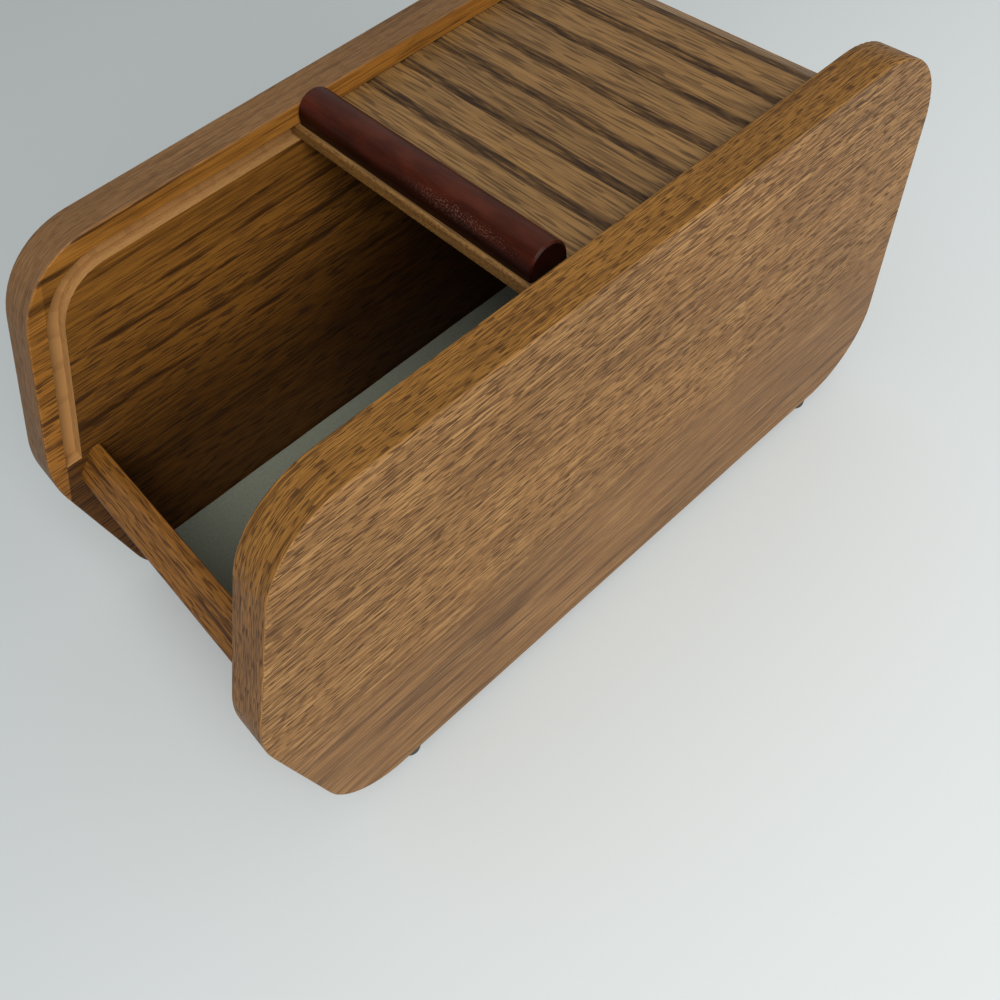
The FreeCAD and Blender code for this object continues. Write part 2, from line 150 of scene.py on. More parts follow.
class Recipe:
    """One material and the nodes that it is mixed from."""

    def __init__(self, name: str) -> None:
        """Starts a material that holds a Principled shader and an output."""
        self.material = bpy.data.materials.new(name)
        self.material.use_nodes = True
        self.nodes = self.material.node_tree.nodes
        self.links = self.material.node_tree.links
        self.nodes.clear()
        self.output = self.nodes.new("ShaderNodeOutputMaterial")
        self.shader = self.nodes.new("ShaderNodeBsdfPrincipled")
        self.links.new(self.shader.outputs[0], self.output.inputs["Surface"])

    def node(self, kind: str, settings: dict | None = None,
             inputs: dict | None = None) -> bpy.types.Node:
        """Adds one node.

        Args:
            kind: the node's type.
            settings: its own settings, set first; "stops" are a ramp's pairs of place and grey.
            inputs: a value, a colour or a link for each named or numbered socket.

        Returns:
            The new node.
        """
        node = self.nodes.new(kind)
        for name, setting in (settings or {}).items():
            if name == "stops":
                self._stops(node, setting)
            else:
                setattr(node, name, setting)
        for name, given in (inputs or {}).items():
            self.feed(node.inputs[name], given)
        return node

    def _stops(self, node: bpy.types.Node, stops: tuple[Pair, ...]) -> None:
        """Sets the stops of a colour ramp to greys."""
        ramp = node.color_ramp.elements
        while len(ramp) < len(stops):
            ramp.new(0.5)
        for element, (place, grey) in zip(ramp, stops):
            element.position = place
            element.color = (grey, grey, grey, 1.0)

    def feed(self, socket: bpy.types.NodeSocket, given: object) -> None:
        """Links a value or an output to a socket, or sets the socket to a constant."""
        if isinstance(given, Value):
            given = given.socket
        if isinstance(given, bpy.types.NodeSocket):
            self.links.new(given, socket)
        elif isinstance(given, tuple) and socket.type == "RGBA":
            socket.default_value = (*given, 1.0)
        else:
            socket.default_value = given

    def place(self, turn: Triple, shift: Triple) -> bpy.types.NodeSocket:
        """The point on the piece in millimetres.

        Args:
            turn: degrees about X, Y and Z that bring the grain onto the Y axis.
            shift: millimetres by which the pattern is moved, so that no two boards are alike.

        Returns:
            The vector socket.
        """
        source = self.node("ShaderNodeTexCoord")
        radians = tuple(math.radians(angle) for angle in turn)
        mapping = self.node("ShaderNodeMapping", {}, {
            "Vector": source.outputs["Object"], "Location": shift,
            "Rotation": radians, "Scale": (1.0 / MM,) * 3})
        return mapping.outputs["Vector"]

    def vector(self, operation: str, first: object, second: object) -> bpy.types.NodeSocket:
        """One Vector Math node on two vectors, each a link or three numbers."""
        node = self.node("ShaderNodeVectorMath", {"operation": operation}, {0: first, 1: second})
        return node.outputs[0]

    def moved(self, point: bpy.types.NodeSocket, shift: Triple) -> bpy.types.NodeSocket:
        """The point moved by a shift in millimetres."""
        return self.vector("ADD", point, shift)

    def joined(self, x: Value | float, y: Value | float, z: Value | float) -> bpy.types.NodeSocket:
        """A vector from its three parts."""
        return self.node("ShaderNodeCombineXYZ", {}, {0: x, 1: y, 2: z}).outputs[0]

    def noise(self, point: bpy.types.NodeSocket, sizes: Triple, detail: float = 2.0,
              rough: float = 0.5) -> Value:
        """Soft noise whose lumps have the given sizes.

        Args:
            point: the point in millimetres.
            sizes: a lump's size along X, Y and Z in millimetres.
            detail: how many finer layers are added.
            rough: how strong those layers are.

        Returns:
            The noise, from 0 to 1 and mostly near 0.5.
        """
        inputs = {"Vector": self.vector("DIVIDE", point, sizes), "Scale": 1.0,
                  "Detail": detail, "Roughness": rough}
        return Value(self, self.node("ShaderNodeTexNoise", {}, inputs).outputs[0])

    def fibres(self, point: bpy.types.NodeSocket, size: Pair, detail: float = 2.0,
               rough: float = 0.5) -> Value:
        """Noise as noise() gives it, its lumps sized by their width and their length along Y."""
        wide, long = size
        return self.noise(point, (wide, long, wide), detail, rough)

    def parts(self, point: bpy.types.NodeSocket) -> tuple[Value, Value, Value]:
        """X, Y and Z of a point."""
        node = self.node("ShaderNodeSeparateXYZ", {}, {0: point})
        return tuple(Value(self, socket) for socket in node.outputs)

    def ramp(self, value: Value, stops: tuple[Pair, ...]) -> Value:
        """A curve of greys through the stops."""
        node = self.node("ShaderNodeValToRGB", {"stops": stops}, {0: value})
        return Value(self, node.outputs[0])

    def mix(self, share: Value | float, first: object, second: object,
            way: str = "MIX") -> bpy.types.NodeSocket:
        """Mixes two colours.

        Args:
            share: how much of the second colour.
            first: a colour or a link.
            second: a colour or a link.
            way: the Mix node's blend type.

        Returns:
            The mixed colour's socket.
        """
        node = self.node("ShaderNodeMix", {"data_type": "RGBA", "blend_type": way})
        self.feed(node.inputs[0], share)
        self.feed(node.inputs[6], first)
        self.feed(node.inputs[7], second)
        return node.outputs[2]

    def finish(self, colour: object, roughness: object, height: Value | None, depth: float,
               shine: float, constants: dict | None = None) -> bpy.types.Material:
        """Feeds the shader.

        Args:
            colour: base colour or link.
            roughness: roughness or link.
            height: surface height from 0 to 1, or None for a smooth surface.
            depth: what a height of 1 measures, in millimetres.
            shine: the level of mirror-like reflection.
            constants: other sockets of the shader and their fixed values.

        Returns:
            The finished material.
        """
        self.feed(self.shader.inputs["Base Color"], colour)
        self.feed(self.shader.inputs["Roughness"], roughness)
        self.feed(self.shader.inputs["Specular IOR Level"], shine)
        for name, given in (constants or {}).items():
            self.feed(self.shader.inputs[name], given)
        if height is not None:
            inputs = {"Height": height, "Distance": depth * MM, "Strength": 1.0}
            bump = self.node("ShaderNodeBump", {}, inputs)
            self.feed(self.shader.inputs["Normal"], bump.outputs[0])
        return self.material


@dataclass(frozen=True)
class Surface:
    """What a layer of wood hands on: its material, colour, roughness and height."""

    mix: Recipe
    colour: bpy.types.NodeSocket
    roughness: Value
    height: Value

    def under(self, share: Value, other: "Surface") -> "Surface":
        """The surface with another one laid over it where the share is 1."""
        return Surface(self.mix, self.mix.mix(share, self.colour, other.colour),
                       self.roughness + share * (other.roughness - self.roughness),
                       self.height + share * (other.height - self.height))

    def toned(self, share: Value, first: object, second: object) -> "Surface":
        """The surface with its colour multiplied by a tone between two tones."""
        tone = self.mix.mix(share, first, second)
        return replace(self, colour=self.mix.mix(1.0, self.colour, tone, "MULTIPLY"))

    def finish(self, relief: float, shine: float) -> bpy.types.Material:
        """The material that shows this surface."""
        return self.mix.finish(self.colour, self.roughness, self.height, relief, shine)


@dataclass(frozen=True)
class Oak:
    """Oiled oak: streaks, growth rings, dark bands, light hairs partly painted as highlights, dark lines
    and open pores. Sizes in mm.

    A size is a lump's width across the grain and its length along it. A step is the noise value at which
    a layer starts to show and the one at which it shows fully. A strength is the layer's share there.
    """

    name: str
    grain: Grain = Grain.ALONG_BOX
    shift: Triple = ORIGIN
    pale: Triple = (0.290, 0.137, 0.038)
    dark: Triple = (0.135, 0.058, 0.015)
    pore: Triple = (0.070, 0.028, 0.007)
    gleam: Triple = (0.47, 0.255, 0.088)
    tone: float = 1.0
    streak_size: Pair = (0.9, 55.0)
    streak_step: Pair = (0.36, 0.66)
    streak_strength: float = 0.5
    band_size: Pair = (5.0, 170.0)
    band_step: Pair = (0.50, 0.66)
    band_strength: float = 0.3
    pore_size: Pair = (0.42, 4.2)
    pore_cut: Pair = (0.55, 0.63)
    pore_strength: float = 0.80
    line_size: Pair = (0.62, 26.0)
    line_step: Pair = (0.54, 0.66)
    line_share: float = 0.55
    gleam_step: Pair = (0.47, 0.36)
    gleam_strength: float = 0.58
    dark_step: Pair = (0.0, 1.1)
    cloud_size: Pair = (40.0, 90.0)
    cloud_step: Pair = (0.3, 0.7)
    cloud_tones: Pair = (0.92, 1.10)
    heart: Pair = (0.0, 0.0)
    ring_width: float = 4.0
    ring_strength: float = 0.2
    ring_curve: tuple[Pair, ...] = ((0.0, 0.0), (0.05, 1.0), (0.14, 0.55), (0.32, 0.06), (1.0, 0.0))
    wander: float = 7.0
    wander_size: Pair = (24.0, 150.0)
    patch_size: Pair = (8.0, 60.0)
    patch_step: Pair = (0.40, 0.60)
    fray_size: Pair = (0.9, 13.0)
    fray_step: Pair = (0.32, 0.58)
    fray_least: float = 0.25
    roughness: float = 0.45
    pore_roughness: float = 0.15
    shine: float = 0.35
    relief: float = 0.05
    pore_depth: float = 0.7
    line_depth: float = 0.35
    line_cut: Pair = (0.54, 0.64)

    def growth(self, mix: Recipe, point: bpy.types.NodeSocket, rings: Value | float) -> Value:
        """How dark the growth rings are, broken into patches and frayed by the fibres, from 0 to 1."""
        across, _, depth = mix.parts(point)
        off = mix.fibres(point, self.wander_size, 2.0, 0.5) * self.wander
        side = across - self.heart[0]
        rise = depth - self.heart[1]
        radius = (side * side + rise * rise) ** 0.5
        ring = ((radius + off) / self.ring_width).fraction()
        early = mix.ramp(ring, self.ring_curve) * rings
        patch = mix.fibres(point, self.patch_size, 2.0, 0.6).between(*self.patch_step)
        fray = mix.fibres(point, self.fray_size, 2.0, 0.6).between(*self.fray_step)
        return early * patch * (fray * (1.0 - self.fray_least) + self.fray_least)

    def surface(self, mix: Recipe, point: bpy.types.NodeSocket, pore_share: Value | float = 1.0,
                low: Value | float = 0.0, rings: Value | float = 1.0) -> Surface:
        """Mixes the wood at a point.

        Args:
            mix: the material.
            point: the point in millimetres, its Y along the grain.
            pore_share: where the open pores show, from 0 to 1.
            low: how much the long bands gain, from 0 to 1.
            rings: where the growth rings show, from 0 to 1.

        Returns:
            The wood's surface.
        """
        streak = mix.fibres(point, self.streak_size, 2.0, 0.65).between(*self.streak_step)
        band = mix.fibres(point, self.band_size, 1.0, 0.6).between(*self.band_step)
        pores = mix.fibres(point, self.pore_size, 0.0).between(*self.pore_cut) * pore_share
        hairs = mix.fibres(point, self.line_size, 1.0, 0.4)
        shares = streak * self.streak_strength + band * (low + 1.0) * self.band_strength
        if self.ring_strength > 0.0:
            shares = shares + self.growth(mix, point, rings) * self.ring_strength
        colour = mix.mix(shares.between(*self.dark_step), self.pale, self.dark)
        # light hairs along the grain, partly a painted highlight of the oil's sheen
        colour = mix.mix(hairs.between(*self.gleam_step) * self.gleam_strength, colour, self.gleam)
        lines = hairs.between(*self.line_step) * (self.pore_strength * self.line_share)
        colour = mix.mix(lines, colour, self.pore)
        colour = mix.mix(pores * self.pore_strength, colour, self.pore)
        cloud = mix.fibres(point, self.cloud_size, 1.0).between(*self.cloud_step)
        tones = [(self.tone * tone,) * 3 for tone in self.cloud_tones]
        colour = mix.mix(1.0, colour, mix.mix(cloud, *tones), "MULTIPLY")
        height = 1.0 - pores * self.pore_depth - hairs.between(*self.line_cut) * self.line_depth
        return Surface(mix, colour, self.roughness + pores * self.pore_roughness, height)

    def material(self) -> bpy.types.Material:
        """Mixes a board that is this wood all over."""
        mix = Recipe(self.name)
        return self.surface(mix, mix.place(self.grain.value, self.shift)).finish(self.relief, self.shine)


@dataclass(frozen=True)
class SideWood:
    """A side board: veneered faces, a lipping whose grain runs round the outline, and a bare groove.

    Places are in mm, X from the middle of the box outwards. A step is how far from its place a zone
    starts to show and how far it shows fully.
    """

    name: str
    outer: Oak
    inner: Oak
    lipping: Oak
    bare: Oak
    top: float = 159.0
    bend: float = 35.0
    front_bend: float = -90.56
    back_bend: float = 109.0
    slope_foot: Pair = (-144.913, 84.5)
    slope: float = 22.6
    faces: Pair = (56.5, 71.5)
    outer_step: Pair = (-0.30, -0.12)
    inner_step: Pair = (0.30, 0.12)
    arris_highlight_step: Pair = (-0.60, -0.35)
    arris_highlight_strength: float = 0.35
    groove_inset: float = 6.0
    inset_step: Pair = (-0.10, -0.02)
    groove_floor: float = 61.5
    floor_step: Pair = (0.2, 0.1)
    groove_end: Pair = (82.0, 83.0)
    plain_step: Pair = (48.0, 84.0)
    plain_pores: float = 0.2
    low_tone: Triple = (0.80, 0.79, 0.83)
    inner_pores: Pair = (150.0, 118.0)
    inner_least: float = 0.3
    inner_rings: Pair = (78.0, 104.0)
    shade: float = 0.9
    shade_tone: Triple = (0.15, 0.11, 0.05)
    shade_down: Pair = (134.0, 66.0)
    shade_back: Pair = (-60.0, 0.0)
    shade_shares: Pair = (0.8, 0.30)
    rim_step: Pair = (0.4, 0.0)
    rim_height: Pair = (60.0, 70.0)
    rim_tone: Triple = (1.42, 1.42, 1.42)
    front_shade_tone: Triple = (0.87, 0.80, 0.60)
    front_shade_step: Pair = (-112.0, -142.0)
    shine: float = 0.2

    def way_round(self, y: Value, z: Value) -> Value:
        """Length along the outline from over the box's middle, less than zero towards the front."""
        centre = self.top - self.bend
        above = (z - centre).at_least(0.0)
        below = (centre - z).at_least(0.0)
        fore = (self.front_bend - y).at_least(0.0)
        aft = (y - self.back_bend).at_least(0.0)
        flat = y.at_least(self.front_bend).at_most(self.back_bend)
        turn = aft.angle_to(above + TINY) - fore.angle_to(above + TINY)
        side = y.between(-1.0, 1.0) * 2.0 - 1.0
        return flat + turn * self.bend + below * side

    def inset(self, y: Value, z: Value) -> Value:
        """Depth inside the outline, true along the slope, the top and the back."""
        lean = math.radians(self.slope)
        along = y - self.slope_foot[0] - (z - self.slope_foot[1]) * math.tan(lean)
        aft = (y - self.back_bend).at_least(0.0)
        above = (z - (self.top - self.bend)).at_least(0.0)
        from_back = self.bend - (aft * aft + above * above) ** 0.5
        return (along * math.cos(lean)).at_most(from_back)

    def outer_face(self, mix: Recipe, place: bpy.types.NodeSocket, z: Value) -> Surface:
        """The outer face, whose lower part is smoother, more banded and darker."""
        high = z.between(*self.plain_step)
        pores = high * (1.0 - self.plain_pores) + self.plain_pores
        face = self.outer.surface(mix, mix.moved(place, self.outer.shift), pores, 1.0 - high)
        return face.toned(high, self.low_tone, WHITE)

    def inner_face(self, mix: Recipe, place: bpy.types.NodeSocket, y: Value, z: Value) -> Surface:
        """The inner face, with painted shade deeper downwards and backwards, and paler outside the
        groove.
        """
        pores = z.between(*self.inner_pores) * (1.0 - self.inner_least) + self.inner_least
        face = self.inner.surface(mix, mix.moved(place, self.inner.shift), pores, 0.0,
                                  z.between(*self.inner_rings))
        # painted shade: the face is darkened towards the bottom and towards the back under the lid,
        # where shade falls
        down, back = self.shade_shares
        shaded = (z.between(*self.shade_down) * down + y.between(*self.shade_back) * back).at_most(1.0)
        tone = mix.mix(shaded * self.shade, WHITE, self.shade_tone)
        rim = self.inset(y, z).around(self.groove_inset, self.rim_step) * z.between(*self.rim_height)
        return face.toned(rim, tone, self.rim_tone)

    def edge(self, mix: Recipe, out: Value, y: Value, z: Value) -> Surface:
        """The lipping round the outline, with the bare groove cut into it."""
        way = self.way_round(y, z)
        joined = mix.joined(out, way, 0.0)
        edge = self.lipping.surface(mix, mix.moved(joined, self.lipping.shift))
        # painted shade: the lipping's front-facing part is darkened and warmed, where less light falls
        # from the front
        edge = edge.toned(way.between(*self.front_shade_step), WHITE, self.front_shade_tone)
        # painted highlight, partly wear: a light line along the outer arris
        arris_highlight = out.around(self.faces[1], self.arris_highlight_step) * self.arris_highlight_strength
        edge = replace(edge, colour=mix.mix(arris_highlight, edge.colour, self.outer.gleam))
        in_groove = (self.inset(y, z).around(self.groove_inset, self.inset_step)
                     * out.around(self.groove_floor, self.floor_step) * z.between(*self.groove_end))
        return edge.under(in_groove, self.bare.surface(mix, mix.moved(joined, self.bare.shift)))

    def material(self) -> bpy.types.Material:
        """Mixes the board."""
        mix = Recipe(self.name)
        place = mix.place(ORIGIN, ORIGIN)
        x, y, z = mix.parts(place)
        out = x.size()
        on_outer = out.around(self.faces[1], self.outer_step)
        on_inner = out.around(self.faces[0], self.inner_step)
        board = self.edge(mix, out, y, z)
        board = board.under(on_outer, self.outer_face(mix, place, z))
        board = board.under(on_inner, self.inner_face(mix, place, y, z))
        return board.finish(self.outer.relief, self.shine)


@dataclass(frozen=True)
class SlatWood:
    """One slat's oak, cut from its own place in the plank, with painted shade and grime darkening the
    bevel along its front edge.

    Sizes in mm, from the slat's front edge and from the cloth's plane up.
    """

    name: str
    oak: Oak
    start: Triple
    turn: float
    lead: bool = False
    bevel: Pair = (3.7, 3.0)
    bevel_height: Pair = (2.6, 3.1)
    bevel_shade_strength: float = 0.95
    bevel_shade_tone: Triple = (0.15, 0.12, 0.08)
    bevel_roughness: float = 0.15
    grime_and_shade_size: Pair = (0.9, 11.0)
    grime_and_shade_step: Pair = (0.25, 0.62)
    grime_and_shade_shares: Pair = (0.65, 0.3)
    nose: Pair = (0.9, 0.4)
    nose_tone: Triple = (1.0, 0.88, 0.62)
    cut_size: Pair = (0.7, 1.3)
    cut_step: Pair = (0.30, 0.70)
    cut_share: float = 0.55

    def material(self) -> bpy.types.Material:
        """Mixes the slat."""
        mix = Recipe(self.name)
        turned = Matrix.Rotation(math.radians(self.turn), 3, "X")
        degrees = tuple(math.degrees(angle) for angle in turned.to_euler())
        across, deep, up = mix.parts(mix.place(degrees, tuple(-(turned @ Vector(self.start)))))
        point = mix.joined(deep, across, up)
        wood = self.oak.surface(mix, mix.moved(point, self.oak.shift))
        return self.wear_and_shade(wood, point, deep, up).finish(self.oak.relief, self.oak.shine)

    def wear_and_shade(self, wood: Surface, point: bpy.types.NodeSocket, deep: Value, up: Value) -> Surface:
        """Gives the lead slat its sawn front, and any other slat painted shade and grime on its bevel.
        """
        mix = wood.mix
        if self.lead:
            nose = deep.between(*self.nose)
            cut = mix.fibres(point, self.cut_size, 2.0, 0.6).between(*self.cut_step)
            sawn = mix.mix(cut, self.oak.dark, self.oak.gleam)
            wood = replace(wood, colour=mix.mix(nose * self.cut_share, wood.colour, sawn))
            return wood.toned(nose, WHITE, self.nose_tone)
        # painted shade and grime: the bevel between slats is darkened, as the joint's shade
        low = deep.between(*self.bevel) * up.between(*self.bevel_height)
        gain, least = self.grime_and_shade_shares
        grime_and_shade = mix.fibres(point, self.grime_and_shade_size, 2.0, 0.6).between(*self.grime_and_shade_step) * gain + least
        wood = wood.toned(low * grime_and_shade * self.bevel_shade_strength, WHITE, self.bevel_shade_tone)
        return replace(wood, roughness=wood.roughness + low * self.bevel_roughness)


@dataclass(frozen=True)
class Lacquer:
    """Dark red-brown lacquer over wood, rubbed through in specks by fingers, with a painted highlight
    along its top, painted shade on its lower side and darker end faces. Places in mm.
    """

    name: str = "handle_lacquer"
    deep: Triple = (0.027, 0.0040, 0.0012)
    bright: Triple = (0.072, 0.0098, 0.0018)
    top_highlight: Triple = (0.090, 0.033, 0.021)
    top_highlight_at: Pair = (160.3, 161.7)
    top_highlight_shares: Pair = (0.24, 0.16)
    deepest: Triple = (0.004, 0.0008, 0.0006)
    deepest_share: float = 0.9
    foot: Pair = (160.9, 155.4)
    foot_share: float = 0.92
    near_end: Pair = (51.48, 51.60)
    far_end: Pair = (-55.98, -56.10)
    fibre_size: Triple = (16.0, 0.7, 0.7)
    fibre_step: Pair = (0.35, 0.7)
    cloud_size: Triple = (18.0, 5.0, 5.0)
    cloud_step: Pair = (0.35, 0.68)
    fibre_share: float = 0.25
    speck: Triple = (0.30, 0.13, 0.085)
    speck_size: Triple = (0.85, 0.30, 0.30)
    speck_step: Pair = (0.66, 0.73)
    speck_gain: float = 0.14
    speck_share: float = 0.5
    worn_at: Triple = (21.0, -13.0, 157.6)
    worn_over: Triple = (42.0, 4.5, 3.6)
    worn_step: Pair = (1.0, 0.45)
    roughness: float = 0.34
    speck_roughness: float = 0.30
    fibre_roughness: float = 0.05
    level: float = 0.5
    speck_height: float = 0.5
    fibre_depth: float = 0.35
    shine: float = 0.09
    relief: float = 0.03

    def material(self) -> bpy.types.Material:
        """Mixes the lacquer."""
        mix = Recipe(self.name)
        point = mix.place(ORIGIN, ORIGIN)
        fibre = mix.noise(point, self.fibre_size, 3.0, 0.6).between(*self.fibre_step)
        cloud = mix.noise(point, self.cloud_size, 2.0).between(*self.cloud_step)
        share = cloud * (1.0 - self.fibre_share) + fibre * self.fibre_share
        colour = mix.mix(share, self.deep, self.bright)
        offset = mix.vector("SUBTRACT", point, self.worn_at)
        reach = mix.vector("DIVIDE", offset, self.worn_over)
        length = mix.node("ShaderNodeVectorMath", {"operation": "LENGTH"}, {0: reach})
        near = Value(mix, length.outputs["Value"]).between(*self.worn_step)
        grit = mix.noise(point, self.speck_size, 2.0, 0.7)
        specks = (grit + near * self.speck_gain).between(*self.speck_step) * near
        colour = mix.mix(specks * self.speck_share, colour, self.speck)
        x, _, z = mix.parts(point)
        # painted shade on the bar's lower side, darkening towards its foot; the end faces are made
        # darker as well
        tarnish_and_shade = z.between(*self.foot) * self.foot_share + x.between(*self.near_end)
        tarnish_and_shade = (tarnish_and_shade + x.between(*self.far_end)).at_most(1.0)
        colour = mix.mix(tarnish_and_shade * self.deepest_share, colour, self.deepest)
        # painted highlight: a paler pinkish band along the bar's top
        least, gain = self.top_highlight_shares
        colour = mix.mix(z.between(*self.top_highlight_at) * (least + cloud * gain), colour, self.top_highlight)
        rough = self.roughness + specks * self.speck_roughness + fibre * self.fibre_roughness
        height = self.level + specks * self.speck_height - fibre * self.fibre_depth
        return mix.finish(colour, rough, height, self.relief, self.shine)


@dataclass(frozen=True)
class Felt:
    """Short matted wool felt. Sizes in mm."""

    name: str = "felt"
    pale: Triple = (0.285, 0.305, 0.225)
    dark: Triple = (0.215, 0.232, 0.172)
    bend_size: Pair = (2.2, 2.2)
    bend: Pair = (3.0, -2.0)
    fibre_size: Triple = (0.25, 0.9, 0.5)
    tuft_size: Pair = (1.1, 1.1)
    fibre_share: float = 0.6
    tuft_share: float = 0.4
    share_step: Pair = (0.34, 0.66)
    wear_size: Pair = (35.0, 35.0)
    wear_step: Pair = (0.3, 0.7)
    wear_share: float = 0.18
    roughness: float = 0.95
    relief: float = 0.35
    shine: float = 0.2
    sheen: Pair = (0.25, 0.6)

    def material(self) -> bpy.types.Material:
        """Mixes the felt."""
        mix = Recipe(self.name)
        point = mix.place(ORIGIN, ORIGIN)
        warp = mix.fibres(point, self.bend_size, 3.0, 0.7)
        bent = mix.vector("ADD", point, mix.joined(warp * self.bend[0], warp * self.bend[1], 0.0))
        fibres = mix.noise(bent, self.fibre_size, 4.0, 0.7)
        tufts = mix.fibres(point, self.tuft_size, 3.0, 0.65)
        pile = fibres * self.fibre_share + tufts * self.tuft_share
        wear = mix.fibres(point, self.wear_size, 2.0).between(*self.wear_step)
        colour = mix.mix(pile.between(*self.share_step), self.dark, self.pale)
        colour = mix.mix(wear * self.wear_share, colour, self.pale)
        sheen = {"Sheen Weight": self.sheen[0], "Sheen Roughness": self.sheen[1]}
        return mix.finish(colour, self.roughness, pile, self.relief, self.shine, sheen)


@dataclass(frozen=True)
class Canvas:
    """Plain-woven cotton, glued under the slats. Sizes in mm."""

    name: str = "canvas"
    pale: Triple = (0.56, 0.50, 0.38)
    dark: Triple = (0.30, 0.25, 0.17)
    pitch: float = 0.55
    over_step: Pair = (-0.02, 0.02)
    thread_share: float = 0.75
    slub_size: Triple = (6.0, 0.7, 1.0)
    slub_step: Pair = (0.35, 0.7)
    roughness: float = 0.9
    relief: float = 0.12
    shine: float = 0.25

    def material(self) -> bpy.types.Material:
        """Mixes the cloth, whose threads follow its own UV map in millimetres."""
        mix = Recipe(self.name)
        source = mix.node("ShaderNodeUVMap", {"uv_map": WEAVE})
        along, across, _ = mix.parts(source.outputs[0])
        warp = (along * (1.0 / self.pitch)).fraction() - 0.5
        weft = (across * (1.0 / self.pitch)).fraction() - 0.5
        wide_warp = (along * (0.5 / self.pitch)).fraction() - 0.5
        wide_weft = (across * (0.5 / self.pitch)).fraction() - 0.5
        up = (wide_warp * wide_weft).between(*self.over_step)
        thread = up * (1.0 - warp * warp * 4.0) + (1.0 - up) * (1.0 - weft * weft * 4.0)
        slub = mix.noise(source.outputs[0], self.slub_size, 2.0).between(*self.slub_step)
        share = thread * self.thread_share + slub * (1.0 - self.thread_share)
        colour = mix.mix(share, self.dark, self.pale)
        return mix.finish(colour, self.roughness, thread, self.relief, self.shine)


@dataclass(frozen=True)
class Rubber:
    """Dull dark rubber with a trace of dust. Sizes in mm."""

    name: str = "foot_rubber"
    black: Triple = (0.022, 0.023, 0.022)
    dust: Triple = (0.075, 0.075, 0.070)
    grain_size: Pair = (0.35, 0.35)
    dust_size: Triple = (3.0, 3.0, 1.5)
    dust_step: Pair = (0.42, 0.7)
    dust_share: float = 0.6
    roughness: float = 0.55
    dust_roughness: float = 0.25
    relief: float = 0.04
    shine: float = 0.5

    def material(self) -> bpy.types.Material:
        """Mixes the rubber."""
        mix = Recipe(self.name)
        point = mix.place(ORIGIN, ORIGIN)
        grain = mix.fibres(point, self.grain_size, 2.0)
        dusty = mix.noise(point, self.dust_size, 3.0).between(*self.dust_step)
        colour = mix.mix(dusty * self.dust_share, self.black, self.dust)
        rough = self.roughness + dusty * self.dust_roughness
        return mix.finish(colour, rough, grain, self.relief, self.shine)


@dataclass(frozen=True)
class PlatedSteel:
    """Plated steel with fine turning marks and a little tarnish. Sizes in mm."""

    name: str = "plated_steel"
    bright: Triple = (0.62, 0.60, 0.56)
    tarnish: Triple = (0.34, 0.29, 0.22)
    mark_size: Pair = (0.12, 2.0)
    mark_step: Pair = (0.3, 0.7)
    tarnish_size: Pair = (1.2, 1.2)
    tarnish_step: Pair = (0.45, 0.75)
    tarnish_share: float = 0.5
    roughness: float = 0.26
    mark_roughness: float = 0.12
    tarnish_roughness: float = 0.2
    relief: float = 0.01
    shine: float = 0.5

    def material(self) -> bpy.types.Material:
        """Mixes the steel."""
        mix = Recipe(self.name)
        point = mix.place(ORIGIN, ORIGIN)
        marks = mix.fibres(point, self.mark_size, 3.0, 0.6).between(*self.mark_step)
        tarnish_and_shade = mix.fibres(point, self.tarnish_size, 2.0).between(*self.tarnish_step)
        colour = mix.mix(tarnish_and_shade * self.tarnish_share, self.bright, self.tarnish)
        rough = self.roughness + marks * self.mark_roughness + tarnish_and_shade * self.tarnish_roughness
        return mix.finish(colour, rough, marks, self.relief, self.shine, {"Metallic": 1.0})


def dress(node: str, material: bpy.types.Material) -> None:
    """Gives a carried-over node its finish."""
    mesh = frame["nodes"][node].data
    mesh.materials.clear()
    mesh.materials.append(material)


def deselect() -> None:
    """Leaves nothing selected, so that the next operator acts on the new piece alone."""
    if bpy.context.object is not None and bpy.context.object.mode != "OBJECT":
        bpy.ops.object.mode_set(mode="OBJECT")
    bpy.ops.object.select_all(action="DESELECT")


def settle(piece: bpy.types.Object, name: str, material: bpy.types.Material) -> None:
    """Names a new piece, moves its place and turn into its mesh and gives it its material."""
    piece.name = name
    piece.data.name = name
    deselect()
    piece.select_set(True)
    bpy.context.view_layer.objects.active = piece
    bpy.ops.object.transform_apply(location=True, rotation=True, scale=True)
    piece.data.materials.clear()
    piece.data.materials.append(material)
    deselect()


def finish_modifiers(piece: bpy.types.Object) -> None:
    """Applies every modifier of a piece and smooths its gentle edges."""
    deselect()
    piece.select_set(True)
    bpy.context.view_layer.objects.active = piece
    for modifier in list(piece.modifiers):
        bpy.ops.object.modifier_apply(modifier=modifier.name)
    bpy.ops.object.shade_smooth_by_angle(angle=SMOOTH_UNDER)
    deselect()


